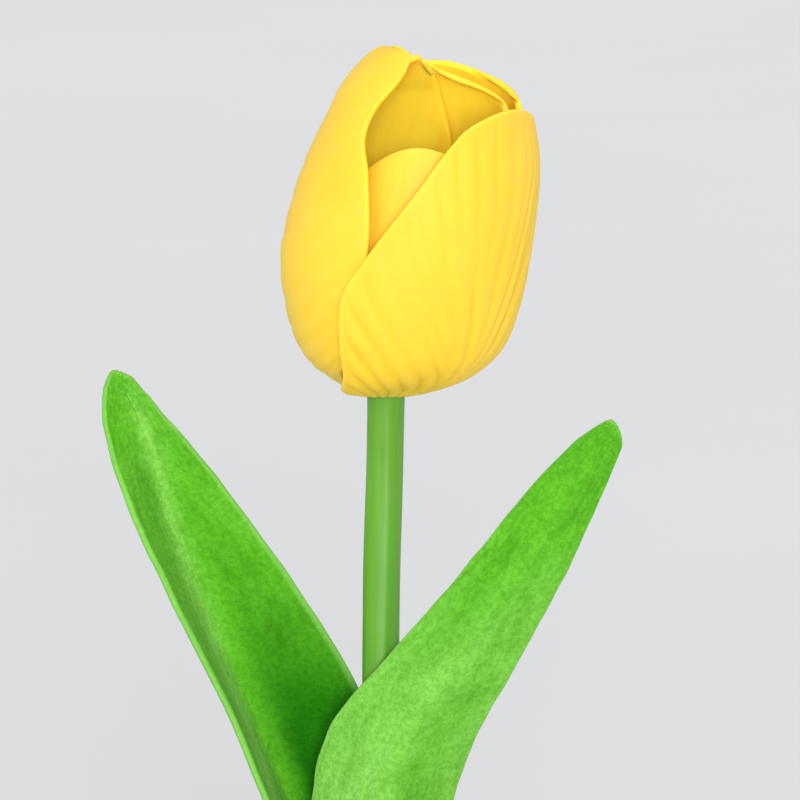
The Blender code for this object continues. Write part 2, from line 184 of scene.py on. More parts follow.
def pick(piece):
    start_fresh()
    piece.select_set(True)
    bpy.context.view_layer.objects.active = piece


def point_faces_outwards(piece):
    pick(piece)
    bpy.ops.object.mode_set(mode="EDIT")
    bpy.ops.mesh.select_all(action="SELECT")
    bpy.ops.mesh.normals_make_consistent(inside=False)
    bpy.ops.object.mode_set(mode="OBJECT")


def hand_in(piece, name, finish, node=None):
    """Names the finished piece, gives it its finish, hangs it on the root, and hides the part of the solid
    that it stands for.
    """
    pick(piece)
    bpy.ops.object.transform_apply(location=True, rotation=True, scale=True)
    piece.name = piece.data.name = name
    piece.data.materials.clear()
    piece.data.materials.append(finish)
    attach(piece, "root")
    if node:
        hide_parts(node)


def carry(piece, name, values):
    """Stores a number at each vertex of a piece, for its finish to read."""
    piece.data.attributes.new(name, "FLOAT", "POINT").data.foreach_set("value", values)


def thrown(profile, sides, closed=False):
    """Raises a ring of edges through the (radius, height) places of a profile, as clay rises on a wheel."""
    start_fresh()
    radius, height = profile[0]
    bpy.ops.mesh.primitive_circle_add(vertices=sides, radius=radius, location=(0, 0, height))
    piece = bpy.context.object
    bpy.ops.object.mode_set(mode="EDIT")
    bpy.ops.mesh.select_all(action="SELECT")
    if not closed:
        bpy.ops.mesh.edge_face_add()
        bpy.ops.mesh.poke()
        bpy.ops.mesh.select_all(action="SELECT")
        bpy.ops.mesh.region_to_loop()
    route = [*profile, profile[0]] if closed else profile
    for (radius, height), (next_radius, next_height) in zip(route, route[1:]):
        bpy.ops.mesh.extrude_region_move(TRANSFORM_OT_translate={"value": (0, 0, next_height - height)})
        scale = next_radius / radius
        bpy.ops.transform.resize(value=(scale, scale, 1), center_override=(0, 0, 0))
    if not closed:
        bpy.ops.mesh.edge_face_add()
        bpy.ops.mesh.poke()
    bpy.ops.mesh.select_all(action="SELECT")
    bpy.ops.mesh.remove_doubles(threshold=0.001 * MM)
    bpy.ops.mesh.normals_make_consistent(inside=False)
    bpy.ops.object.mode_set(mode="OBJECT")
    bpy.ops.object.transform_apply(location=True, rotation=True, scale=True)
    return piece


def eased_corner(before, corner, after, rounding, steps=5):
    """Places round a corner of a profile, on a curve that starts and ends at its rounding."""
    corner = Vector(corner)
    start = corner + (Vector(before) - corner).normalized() * rounding
    end = corner + (Vector(after) - corner).normalized() * rounding
    places = []
    for step in range(steps + 1):
        x = step / steps
        places.append(tuple(start * (1 - x) ** 2 + corner * 2 * x * (1 - x) + end * x ** 2))
    return places


def filled_in(places, spacing):
    """Adds places along the straight stretches of a profile, about this far apart."""
    dense = []
    for first, second in zip(places, [*places[1:], places[0]]):
        first, second = Vector(first), Vector(second)
        parts = max(1, round((second - first).length / spacing))
        dense += [tuple(first.lerp(second, part / parts)) for part in range(parts)]
    return dense


# Finishes

class Finish:
    """A material in the making: its shader, and short ways to add patterns to it."""

    def __init__(self, name, roughness, **values):
        self.material = bpy.data.materials.new(name)
        self.material.use_nodes = True
        self.tree = self.material.node_tree
        self.shader = self.tree.nodes["Principled BSDF"]
        self.shader.inputs["Roughness"].default_value = roughness
        for socket, value in values.items():
            self.shader.inputs[socket.replace("_", " ").title()].default_value = value
        self.object_place = self.tree.nodes.new("ShaderNodeTexCoord").outputs["Object"]
        self.uv_place = self.tree.nodes.new("ShaderNodeUVMap").outputs["UV"]

    def join(self, source, socket):
        self.tree.links.new(source, socket)

    def stretched(self, place, scale):
        mapping = self.tree.nodes.new("ShaderNodeMapping")
        mapping.inputs["Scale"].default_value = scale
        self.join(place, mapping.inputs["Vector"])
        return mapping.outputs["Vector"]

    def noise(self, scale, detail=2.0, roughness=0.5, distortion=0.0, place=None):
        texture = self.tree.nodes.new("ShaderNodeTexNoise")
        texture.inputs["Scale"].default_value = scale
        texture.inputs["Detail"].default_value = detail
        texture.inputs["Roughness"].default_value = roughness
        texture.inputs["Distortion"].default_value = distortion
        self.join(place or self.object_place, texture.inputs["Vector"])
        return texture.outputs["Fac"]

    def specks(self, scale, place=None):
        """The distance to the nearest of many scattered points."""
        texture = self.tree.nodes.new("ShaderNodeTexVoronoi")
        texture.inputs["Scale"].default_value = scale
        self.join(place or self.object_place, texture.inputs["Vector"])
        return texture.outputs["Distance"]

    def carried(self, attribute):
        """A number that the piece's own mesh carries."""
        node = self.tree.nodes.new("ShaderNodeAttribute")
        node.attribute_name = attribute
        return node.outputs["Fac"]

    def ramp(self, source, *stops):
        """Turns a number into a colour, or a grey, through (place, colour) stops."""
        node = self.tree.nodes.new("ShaderNodeValToRGB")
        elements = node.color_ramp.elements
        while len(elements) < len(stops):
            elements.new(0.5)
        for element, (place, colour) in zip(elements, stops):
            element.position = place
            element.color = (*colour, 1) if isinstance(colour, tuple) else (colour, colour, colour, 1)
        self.join(source, node.inputs["Fac"])
        return node.outputs["Color"]

    def mixed(self, amount, first, second, blend="MIX"):
        """Blends two colours; amount is a number or a pattern."""
        node = self.tree.nodes.new("ShaderNodeMix")
        node.data_type = "RGBA"
        node.blend_type = blend
        for value, socket in ((amount, node.inputs[0]), (first, node.inputs[6]), (second, node.inputs[7])):
            if isinstance(value, bpy.types.NodeSocket):
                self.join(value, socket)
            else:
                socket.default_value = (*value, 1) if isinstance(value, tuple) else value
        return node.outputs[2]

    def sum(self, first, second, weight):
        """The first number plus a share of the second."""
        node = self.tree.nodes.new("ShaderNodeMath")
        node.operation = "MULTIPLY_ADD"
        self.join(second, node.inputs[0])
        node.inputs[1].default_value = weight
        self.join(first, node.inputs[2])
        return node.outputs[0]

    def colour(self, source):
        self.join(source, self.shader.inputs["Base Color"])

    def roughness(self, source):
        self.join(source, self.shader.inputs["Roughness"])

    def relief(self, height, depth, strength=1.0):
        node = self.tree.nodes.new("ShaderNodeBump")
        node.inputs["Strength"].default_value = strength
        node.inputs["Distance"].default_value = depth
        self.join(height, node.inputs["Height"])
        self.join(node.outputs["Normal"], self.shader.inputs["Normal"])


def petal_finish():
    """Soft yellow that light sinks into, with painted shade deeper in the grooves, painted light paler inside
    the bloom, and a painted highlight paler at the rim.
    """
    finish = Finish("petal_yellow", 0.55, subsurface_weight=0.85, subsurface_scale=0.0025)
    finish.shader.inputs["Subsurface Radius"].default_value = (1.0, 0.75, 0.14)
    finish.shader.inputs["Specular IOR Level"].default_value = 0.3
    body = finish.ramp(
        finish.noise(70, 3, 0.5),
        (0.3, (1.0, 0.53, 0.034)), (0.5, (1.0, 0.55, 0.041)), (0.7, (1.0, 0.57, 0.05)),
    )
    # Painted light: faces inside the bloom are paler, brightening the shaded inside of the cup.
    lined = finish.mixed(finish.carried("inside"), body, (1.0, 0.67, 0.04))
    # Painted shade: deeper yellow in the grooves between the flutes.
    fluted = finish.mixed(finish.carried("depth"), lined, (1.0, 0.54, 0.02))
    # Painted highlight: paler towards the rim.
    rim = finish.ramp(finish.carried("rim"), (0.0, 0.0), (1.0, 0.5))
    finish.colour(finish.mixed(rim, fluted, (1.0, 0.64, 0.03)))
    streaks = finish.noise(1.0, 3, 0.6, 0.0, finish.stretched(finish.uv_place, (150, 9, 1)))
    finish.relief(finish.sum(streaks, finish.noise(1500, 2), 0.4), 0.10 * MM, 0.5)
    return finish.material


def leaf_finish(name, pale):
    """Soft felted green: streaked and mottled, with a fine nap, painted shade where the leaf is in shade,
    painted highlights where it catches the light, and a painted highlight along the rim.
    """
    finish = Finish(name, 0.9, sheen_weight=0.06, sheen_roughness=0.45)
    finish.shader.inputs["Sheen Tint"].default_value = (0.75, 1.0, 0.5, 1)
    finish.shader.inputs["Specular IOR Level"].default_value = 0.1
    lengthwise = finish.stretched(finish.uv_place, (14, 22, 1))
    streaks = finish.ramp(
        finish.noise(1.0, 5, 0.62, 0.3, lengthwise), (0.3, (0.72, 0.8, 0.55)), (0.62, 1.0),
    )
    streaked = finish.mixed(1.0, streaks, pale, "MULTIPLY")
    broad = finish.stretched(finish.uv_place, (4.5, 13, 1))
    cloud = finish.ramp(finish.noise(1.0, 6, 0.66, 0.9, broad), (0.42, 0.0), (0.66, 0.8))
    clouded = finish.mixed(cloud, streaked, tuple(1.12 * part + 0.03 for part in pale))
    nap = finish.ramp(finish.noise(1150, 3, 0.8), (0.38, (0.6, 0.72, 0.45)), (0.6, 1.0))
    napped = finish.mixed(0.8, clouded, nap, "MULTIPLY")
    # Painted shade and light: the depth each leaf carries darkens it, least on its painted highlights and most
    # in its painted shade.
    shade = finish.ramp(
        finish.carried("depth"), (0.0, 1.0), (0.55, (0.41, 0.69, 0.16)), (1.0, (0.045, 0.26, 0.0)),
    )
    shaded = finish.mixed(1.0, napped, shade, "MULTIPLY")
    # Painted highlight: paler along the rim.
    rim_highlight = finish.ramp(finish.carried("rim"), (0.45, 0.0), (1.0, 0.45))
    finish.colour(finish.mixed(rim_highlight, shaded, tuple(0.9 * part + 0.05 for part in pale)))
    fuzz = finish.sum(finish.noise(1400, 3, 0.7), finish.noise(320, 4, 0.6), 1.6)
    finish.relief(fuzz, 0.22 * MM, 0.7)
    return finish.material


def stem_finish():
    """Satin green with fine lines along the stalk."""
    finish = Finish("stem_green", 0.42)
    lengthwise = finish.stretched(finish.object_place, (900, 900, 30))
    body = finish.ramp(
        finish.noise(1.0, 3, 0.55, 0.0, lengthwise),
        (0.3, (0.068, 0.245, 0.006)), (0.7, (0.102, 0.305, 0.012)),
    )
    patches = finish.ramp(finish.noise(45, 3), (0.35, 0.0), (0.7, 0.45))
    finish.colour(finish.mixed(patches, body, (0.115, 0.32, 0.022)))
    finish.roughness(finish.ramp(finish.noise(160, 3), (0.3, 0.36), (0.7, 0.52)))
    finish.relief(finish.noise(1.0, 3, 0.5, 0.0, lengthwise), 0.06 * MM, 0.5)
    return finish.material


def clay_finish():
    """Fired clay: orange-brown with turning lines, sandy grain and pale patches of lime."""
    finish = Finish("fired_clay", 0.88)
    finish.shader.inputs["Specular IOR Level"].default_value = 0.2
    body = finish.ramp(
        finish.noise(28, 6, 0.6),
        (0.3, (0.47, 0.175, 0.085)), (0.5, (0.56, 0.225, 0.115)), (0.7, (0.64, 0.29, 0.16)),
    )
    rings = finish.stretched(finish.object_place, (6, 6, 700))
    turned = finish.noise(1.0, 3, 0.6, 0.0, rings)
    lined = finish.mixed(finish.ramp(turned, (0.35, 0.0), (0.7, 0.22)), body, (0.70, 0.36, 0.22))
    lime = finish.ramp(finish.noise(42, 8, 0.72, 0.8), (0.53, 0.0), (0.74, 0.5))
    limed = finish.mixed(lime, lined, (0.74, 0.60, 0.50))
    sand = finish.ramp(finish.specks(620), (0.08, 0.55), (0.22, 0.0))
    finish.colour(finish.mixed(sand, limed, (0.34, 0.13, 0.07)))
    finish.relief(finish.sum(turned, finish.noise(1300, 4, 0.65), 0.8), 0.22 * MM, 0.6)
    return finish.material


def soil_finish():
    """Dark damp soil, each crumb a little lighter or darker than the next."""
    finish = Finish("potting_soil", 0.95)
    finish.shader.inputs["Specular IOR Level"].default_value = 0.15
    body = finish.ramp(
        finish.noise(260, 8, 0.7),
        (0.3, (0.014, 0.009, 0.006)), (0.55, (0.04, 0.026, 0.017)), (0.75, (0.085, 0.058, 0.04)),
    )
    tone = finish.ramp(
        finish.carried("tone"),
        (0.0, (0.018, 0.011, 0.007)), (0.6, (0.06, 0.038, 0.024)), (0.92, (0.14, 0.085, 0.05)),
    )
    finish.colour(finish.mixed(0.55, body, tone))
    finish.relief(finish.noise(1500, 5, 0.7), 0.4 * MM, 0.9)
    return finish.material


def skin_finish():
    """Dry papery bulb skin with veins that run from root to nose."""
    finish = Finish("bulb_skin", 0.6)
    veins = finish.stretched(finish.object_place, (320, 320, 40))
    pattern = finish.noise(1.0, 5, 0.6, 0.4, veins)
    finish.colour(finish.ramp(pattern, (0.3, (0.16, 0.06, 0.02)), (0.7, (0.42, 0.21, 0.09))))
    finish.relief(pattern, 0.3 * MM, 0.6)
    return finish.material


def heart_finish(name, low, high, roughness, grain):
    """The dusty finish of the pistil and the stamens, between two colours."""
    finish = Finish(name, roughness, subsurface_weight=0.15, subsurface_scale=0.002)
    finish.colour(finish.ramp(finish.noise(grain / 3, 4, 0.6), (0.3, low), (0.7, high)))
    finish.relief(finish.noise(grain, 3, 0.6), 0.15 * MM, 0.7)
    return finish.material


# Petals

# Each margin of a petal runs from its foot to its tip through (bearing, climb) stations. A bearing is in
# degrees from the front, to the viewer's right; a climb is a share of the bloom's side. Inset and lift set
# a petal back from that side, and left_out and right_out stand its margins out from the rest, all in mm.
# Bow is how much further the petal climbs along its middle.
OUTER = {"inset": 0.0, "lift": 0.0, "bow": 0.025}
INNER = {"lift": 1.6, "left_out": -1.2, "right_out": 0.0, "bow": 0.04}
PETALS = {
    "petal_outer_left": {
        **OUTER, "left_out": 0.4, "right_out": -1.2,
        "left": (
            (-164, 0.0), (-167, 0.224), (-164, 0.368), (-160, 0.483), (-154, 0.588), (-146, 0.692),
            (-134, 0.785), (-114, 0.883), (-86, 0.965), (-56, 0.985),
        ),
        "right": (
            (-58, 0.0), (-45, 0.203), (-29, 0.331), (-21, 0.452), (-21, 0.562), (-31, 0.672),
            (-42, 0.744), (-41, 0.81), (-34, 0.892), (-35, 0.96),
        ),
    },
    "petal_outer_right": {
        **OUTER, "left_out": 0.9, "right_out": 0.6,
        "left": (
            (-50, 0.0), (-45, 0.169), (-33, 0.276), (-31, 0.38), (-29, 0.47), (-19, 0.541),
            (-6, 0.623), (9, 0.717), (29, 0.806),
        ),
        "right": (
            (56, 0.0), (66, 0.203), (84, 0.335), (96, 0.427), (102, 0.507), (105, 0.584),
            (107, 0.647), (106, 0.703), (102, 0.732),
        ),
    },
    "petal_outer_back": {
        **OUTER, "left_out": -1.4, "right_out": -1.3,
        "left": (
            (68, 0.0), (74, 0.212), (76, 0.354), (75, 0.463), (76, 0.568), (79, 0.665), (85, 0.749),
            (98, 0.793), (122, 0.799),
        ),
        "right": (
            (186, 0.0), (188, 0.206), (202, 0.341), (213, 0.444), (219, 0.545), (224, 0.641),
            (227, 0.729), (229, 0.807), (223, 0.862),
        ),
    },
    "petal_inner_front": {
        **INNER, "inset": 2.7,
        "left": (
            (-52, 0.0), (-60, 0.188), (-70, 0.307), (-75, 0.407), (-75, 0.501),
            (-66, 0.591), (-51, 0.663),
        ),
        "right": (
            (36, 0.0), (40, 0.208), (44, 0.355), (44, 0.473), (41, 0.58), (33, 0.673), (19, 0.722),
        ),
    },
    "petal_inner_right": {
        **INNER, "inset": 1.4, "left_out": -0.6,
        "left": (
            (58, 0.0), (55, 0.237), (52, 0.41), (54, 0.557), (66, 0.69), (90, 0.777), (129, 0.812),
            (175, 0.853),
        ),
        "right": (
            (154, 0.0), (163, 0.199), (174, 0.337), (184, 0.443), (193, 0.548), (204, 0.66),
            (215, 0.77), (219, 0.869),
        ),
    },
    "petal_inner_left": {
        **INNER, "inset": 2.9, "left_out": -0.4,
        "left": (
            (-176, 0.0), (-186, 0.211), (-196, 0.362), (-203, 0.482), (-203, 0.589), (-200, 0.689),
            (-190, 0.781), (-178, 0.879), (-161, 0.913),
        ),
        "right": (
            (-82, 0.0), (-86, 0.2), (-90, 0.342), (-92, 0.456), (-94, 0.563), (-98, 0.683),
            (-104, 0.798), (-114, 0.892), (-129, 0.953),
        ),
    },
}


def bloom_frame():
    """The place and lean of the bloom: its origin is at the top of the stem, and its Z is the bloom's axis."""
    turn = Matrix.Rotation(BLOOM_LEAN_RIGHT, 4, "Y") @ Matrix.Rotation(BLOOM_LEAN_FORWARD, 4, "X")
    return Matrix.Translation(BLOOM_FOOT) @ turn


# How the flutes of each petal run. Rib is the bearing of its middle rib. Left and right say by how many
# degrees the flutes on that side of the rib swing in a whole climb. A chevron's flutes swing away from the
# rib on both sides, by that many degrees. Spacing is in degrees and deep in mm.
FLUTES = {
    "petal_outer_left": {"rib": -100, "chevron": 330, "spacing": 20, "deep": 0.2},
    "petal_outer_right": {"rib": 40, "left": -135, "right": 80, "spacing": 13, "deep": 0.46},
    "petal_outer_back": {"rib": 150, "left": -110, "right": 110, "spacing": 12, "deep": 0.42},
    "petal_inner_front": {"rib": 0, "left": -60, "right": 110, "spacing": 14, "deep": 0.2},
    "petal_inner_right": {"rib": 120, "left": -60, "right": 60, "spacing": 14, "deep": 0.14},
    "petal_inner_left": {"rib": -150, "left": -60, "right": 60, "spacing": 14, "deep": 0.14},
}
FLUTE_START = 0.27
RIB_REACH = 10
GROOVE_SHARPNESS = 1.7
# How strong the flutes are at each climb
FLUTE_STRENGTH = ((0.0, 0.8), (0.1, 1.25), (0.4, 0.9), (0.72, 0.4), (0.95, 0.0))


def traced_back(flutes, bearing, climb):
    """The bearing that the flute through a place sets out from, and how far the flutes have spread there."""
    rise = max(climb - FLUTE_START, -0.1)
    opening = flutes["right"] - flutes["left"]
    low, high = -400.0, 400.0
    for _ in range(22):
        start = (low + high) / 2
        swing = flutes["left"] + opening * smooth_step(-RIB_REACH, RIB_REACH, start)
        if start + swing * rise < bearing:
            low = start
        else:
            high = start
    spread = 1.0
    if abs(start) < RIB_REACH:
        spread += opening * 0.75 / RIB_REACH * max(rise, 0)
    return start, spread


def crossing(turns):
    """1 in the middle of a groove and 0 on the crest beside it."""
    return (0.5 + 0.5 * math.cos(math.tau * turns)) ** GROOVE_SHARPNESS


def groove_at(flutes, bearing, climb, across, share, seed):
    """How deep in a groove between two flutes a place of a petal is, from 0 on a crest to 1 in a groove."""
    bearing -= flutes["rib"]
    if "chevron" in flutes:
        start = math.sqrt(bearing ** 2 + RIB_REACH ** 2) - flutes["chevron"] * climb
        spread = 1.0
    else:
        start, spread = traced_back(flutes, bearing, climb)
    turns = start / flutes["spacing"]
    turns += 0.4 / spread * noise.noise(Vector((bearing * 0.03, climb * 3, seed)))
    turns += 0.1 / spread * noise.noise(Vector((bearing * 0.12, climb * 9, seed + 9)))
    split = math.log2(spread)
    whole = math.floor(split)
    groove = crossing(turns * 2 ** whole)
    groove += (crossing(turns * 2 ** (whole + 1)) - groove) * (split - whole)
    patchy = 0.8 + 0.7 * noise.noise(Vector((bearing * 0.06, climb * 7, seed + 4)))
    margin = smooth_step(0.02, 0.16, 1 - abs(across)) * (1 - smooth_step(0.9, 1.0, share))
    return groove * value_at(FLUTE_STRENGTH, climb) * margin * min(1.15, max(0.2, patchy))


def petal_place(petal, across, share):
    """The bearing and climb of a place on a petal."""
    round_tip = PETAL_TIP_START + (1 - PETAL_TIP_START) * math.sqrt(max(0.0, 1 - across ** 2))
    row = share * round_tip
    left = along(petal["left"], row)
    right = along(petal["right"], row)
    bearing, climb = left.lerp(right, (across + 1) / 2)
    climb += petal["bow"] * (1 - across ** 2) * smooth_step(0.0, 0.8, row)
    over = climb - PETAL_TOP_START
    if over > 0:
        climb = PETAL_TOP_START + PETAL_TOP_REACH * (1 - math.exp(-over / PETAL_TOP_REACH))
    return bearing, climb


def petal_point(petal, across, bearing, climb, sunk):
    """A point of a petal's middle surface in the bloom's frame, sunk inwards by this many mm."""
    side = along(BLOOM_SIDE, climb)
    ahead = along(BLOOM_SIDE, min(climb + 0.01, 1.0)) - along(BLOOM_SIDE, max(climb - 0.01, 0.0))
    outward = Vector((ahead.y, -ahead.x)).normalized()
    inset = petal["inset"] * smooth_step(0.0, 0.3, climb) * (1 - 0.5 * smooth_step(0.85, 1.0, climb))
    offset = -inset - petal["lift"] - sunk
    stand = petal["right_out"] if across > 0 else petal["left_out"]
    offset += stand * abs(across) * smooth_step(0.02, 0.22, climb)
    radius, rise = side.xy + outward * offset
    radius = max(radius, PETAL_FOOT_RADIUS)
    turn = math.radians(bearing)
    return Vector((radius * math.sin(turn) + side.z, -radius * math.cos(turn), rise)) * MM


# The share of the thickness left at the very rim, and the width in roundings of the rim band that the finishes
# paint paler as a highlight
THINNEST_RIM = 0.04
RIM_WIDTH = 2.2


def soft_sheet(grid, place, half_width, length, thickness, rounding):
    """Lays a grid on place(across, share), thickens it both ways and rounds its rim.

    place gives a point and its depth in a groove or in shade, from 0 to 1. The mesh carries the depth and the
    nearness of the rim for its finish. Columns and rows lie closer together towards the rim.
    """
    start_fresh()
    bpy.ops.mesh.primitive_grid_add(x_subdivisions=grid[0], y_subdivisions=grid[1], size=2, calc_uvs=True)
    sheet = bpy.context.object
    full = sheet.vertex_groups.new(name="full_thickness")
    depths, rims = [], []
    for vertex in sheet.data.vertices:
        across = math.sin(vertex.co.x * math.pi / 2)
        share = math.sin((vertex.co.y + 1) / 2 * math.pi / 2)
        from_rim = min(half_width * (1 - abs(across)), length * (1 - share)) / rounding
        x = min(1.0, from_rim)
        full.add([vertex.index], math.sqrt(x * (2 - x)), "REPLACE")
        vertex.co, depth = place(across, share)
        depths.append(depth)
        rims.append(1 - smooth_step(0.0, RIM_WIDTH, from_rim))
    carry(sheet, "depth", depths)
    carry(sheet, "rim", rims)
    solidify = sheet.modifiers.new("thickness", "SOLIDIFY")
    solidify.thickness = thickness
    solidify.offset = 0
    solidify.vertex_group = "full_thickness"
    solidify.thickness_vertex_group = THINNEST_RIM
    bpy.ops.object.modifier_apply(modifier="thickness")
    point_faces_outwards(sheet)
    bpy.ops.object.shade_smooth()
    return sheet


def make_petals(finish):
    place_in_bloom = bloom_frame()
    for seed, (node, petal) in enumerate(PETALS.items()):
        flutes = FLUTES[node]

        def lay(across, share, petal=petal, flutes=flutes, seed=seed):
            bearing, climb = petal_place(petal, across, share)
            groove = groove_at(flutes, bearing, climb, across, share, seed * 3.7)
            point = petal_point(petal, across, bearing, climb, groove * flutes["deep"])
            return place_in_bloom @ point, groove

        sheet = soft_sheet(PETAL_GRID, lay, PETAL_HALF_WIDTH, PETAL_LENGTH, PETAL_THICKNESS, PETAL_ROUNDING)
        middle = place_in_bloom.translation
        # Which faces look into the bloom; the finish paints these paler as painted light.
        carry(sheet, "inside", [
            1 - smooth_step(-0.3, 0.3, vertex.normal.xy.dot((vertex.co - middle).xy.normalized()))
            for vertex in sheet.data.vertices
        ])
        hand_in(sheet, node.replace("petal_", "") + "_petal", finish, node)


# Leaves

# Each leaf's edges and fold, from the soil up, through (x, y, z) places in mm
LEAVES = {
    "leaf_left": {
        "edge_left": (
            (-1.6, -6.1, 84.0), (-2.2, -6.5, 92), (-5.2, -7.2, 104), (-11.0, -7.0, 117),
            (-18.6, -6.4, 132), (-25.0, -6.0, 148), (-33.4, -5.4, 165), (-41.4, -4.2, 182),
            (-46.0, -2.4, 196.2), (-46.0, -0.8, 204.8),
        ),
        "fold": (
            (-6.2, 0.8, 84.0), (-6.5, 1.2, 91), (-8.0, 3.2, 103), (-11.0, 5.6, 115),
            (-16.0, 7.6, 131), (-22.6, 8.2, 147), (-30.0, 7.2, 165), (-36.0, 5.2, 182),
            (-40.6, 2.4, 197), (-44.8, 0.4, 206.0),
        ),
        "edge_right": (
            (1.6, 6.1, 84.0), (2.2, 6.6, 92), (3.0, 8.8, 106), (3.6, 9.8, 120),
            (1.4, 9.8, 136), (-5.4, 8.2, 153), (-15.6, 5.8, 170), (-26.6, 3.4, 186),
            (-37.0, 1.6, 199.2), (-42.4, 0.4, 205.8),
        ),
    },
    "leaf_right": {
        "edge_left": (
            (-3.9, 1.2, 84.0), (-4.1, 1.6, 91), (-5.8, 1.6, 103), (-8.8, 1.2, 116),
            (-11.6, 0.2, 131), (-8.0, -2.4, 146), (1.6, -6.0, 158.6), (13.4, -8.8, 173),
            (24.4, -11.6, 187.6), (34.6, -15.0, 199.2),
        ),
        "fold": (
            (0.8, -4.1, 84.0), (0.8, -4.4, 91), (0.6, -6.2, 103), (0.2, -8.2, 116),
            (0.2, -9.8, 132), (4.6, -11.0, 146), (13.0, -12.2, 160), (22.4, -13.6, 174),
            (31.6, -14.8, 188), (38.2, -16.0, 200.6),
        ),
        "edge_right": (
            (3.9, 1.2, 84.0), (4.2, 1.6, 91), (6.4, 1.0, 103), (9.4, 0.0, 116),
            (12.2, -2.4, 132), (16.4, -5.8, 145), (23.4, -8.6, 158.6), (30.6, -11.0, 173),
            (36.4, -13.4, 186.6), (41.0, -15.4, 198.4),
        ),
    },
}


def round_the_stem(edge, fold, reach):
    """The place between the fold and an edge, taken round the stem instead of straight across."""
    start = math.atan2(fold[1], fold[0])
    swing = (math.atan2(edge[1], edge[0]) - start + math.pi) % math.tau - math.pi
    radius = Vector(fold[:2]).length * (1 - reach) + Vector(edge[:2]).length * reach
    turn = start + swing * reach
    return Vector((radius * math.cos(turn), radius * math.sin(turn), fold[2] + (edge[2] - fold[2]) * reach))


def leaf_point(leaf, across, share):
    """A point of a leaf's middle surface: across runs from -1 at its left edge to 1 at its right edge."""
    tip = LEAF_TIP_START + (1 - LEAF_TIP_START) * math.sqrt(max(0.0, 1 - across ** 2))
    height = share * tip
    edge = along(leaf["edge_left"] if across < 0 else leaf["edge_right"], height)
    other = along(leaf["edge_right"] if across < 0 else leaf["edge_left"], height)
    fold = along(leaf["fold"], height)
    reach = abs(across)
    softened = math.sqrt(reach ** 2 + LEAF_FOLD_SOFTNESS ** 2) - LEAF_FOLD_SOFTNESS
    softened /= math.sqrt(1 + LEAF_FOLD_SOFTNESS ** 2) - LEAF_FOLD_SOFTNESS
    middle = (edge + other) / 2
    folded = middle + (edge - middle) * reach + (fold - middle) * (1 - softened)
    clasped = round_the_stem(edge, fold, reach)
    return clasped.lerp(folded, smooth_step(*LEAF_OPENS, height)) * MM


def shade_of_left_leaf(across, share):
    """Painted light and shade: a painted highlight on a pale strip that crosses the fold as it climbs, painted
    shade along the crease, and deep green painted shade low on the half behind it.
    """
    middle = -0.35 + 1.6 * (share - 0.6)
    highlight_strip = math.exp(-((across - middle) / 0.27) ** 2) * smooth_step(0.38, 0.5, share)
    highlight_strip *= 1 - smooth_step(0.86, 0.98, share)
    crease_shade = math.exp(-((across - 0.04) / 0.07) ** 2)
    # Painted shade: deep green low on the half behind the fold.
    deep = (1 - smooth_step(0.4, 0.78, share)) * smooth_step(-0.05, 0.4, across)
    return 0.5 - 0.46 * highlight_strip + 0.08 * crease_shade + 0.64 * deep


def shade_of_right_leaf(across, share):
    """Painted light and shade: palest low on the half towards the stem, and deeper green towards the tip."""
    # Painted highlight: paler low on the half towards the stem.
    pale = (1 - smooth_step(0.42, 0.68, share)) * (1 - smooth_step(-0.4, 0.3, across))
    return 0.34 + 0.3 * smooth_step(0.62, 1.0, share) - 0.3 * pale


def make_leaves(finishes):
    shades = {"leaf_left": shade_of_left_leaf, "leaf_right": shade_of_right_leaf}
    for seed, (node, leaf) in enumerate(LEAVES.items()):

        def lay(across, share, leaf=leaf, seed=seed, shade=shades[node]):
            point = leaf_point(leaf, across, share)
            ripple = noise.noise(Vector((across * 1.3, share * 7.0, seed * 5.0)))
            vein = math.cos(across * 30) * (1 - abs(across))
            sway = smooth_step(0.25, 0.5, share) * (1 - smooth_step(0.9, 1.0, share))
            uneven = noise.noise(Vector((across, share * 24.0, seed * 3.0))) * abs(across) ** 5
            point.y += LEAF_RIPPLE * ripple * sway + LEAF_VEIN * vein
            point.x += LEAF_UNEVEN_EDGE * uneven * sway
            # The painted shade also rises and falls with the noise that ripples the leaf.
            return point, min(1.0, max(0.0, shade(across, share) + 0.12 * ripple))

        sheet = soft_sheet(LEAF_GRID, lay, LEAF_HALF_WIDTH, LEAF_LENGTH, LEAF_THICKNESS, LEAF_ROUNDING)
        hand_in(sheet, node.replace("leaf_", "") + "_leaf", finishes[node], node)


# Stem

def stem_route():
    """The stem's middle line: upright from the soil, then leaning into the bloom."""
    place_in_bloom = bloom_frame()
    return [
        Vector((0, 0, STEM_FOOT)),
        Vector((0, 0, SOIL_TOP)),
        Vector((0, 0, 110 * MM)),
        Vector((0.1 * MM, 0.1 * MM, 140 * MM)),
        Vector((0.2 * MM, 0.2 * MM, 168 * MM)),
        place_in_bloom @ Vector((0, 0, -12 * MM)),
        place_in_bloom @ Vector((0, 0, STEM_INTO_BLOOM)),
    ]


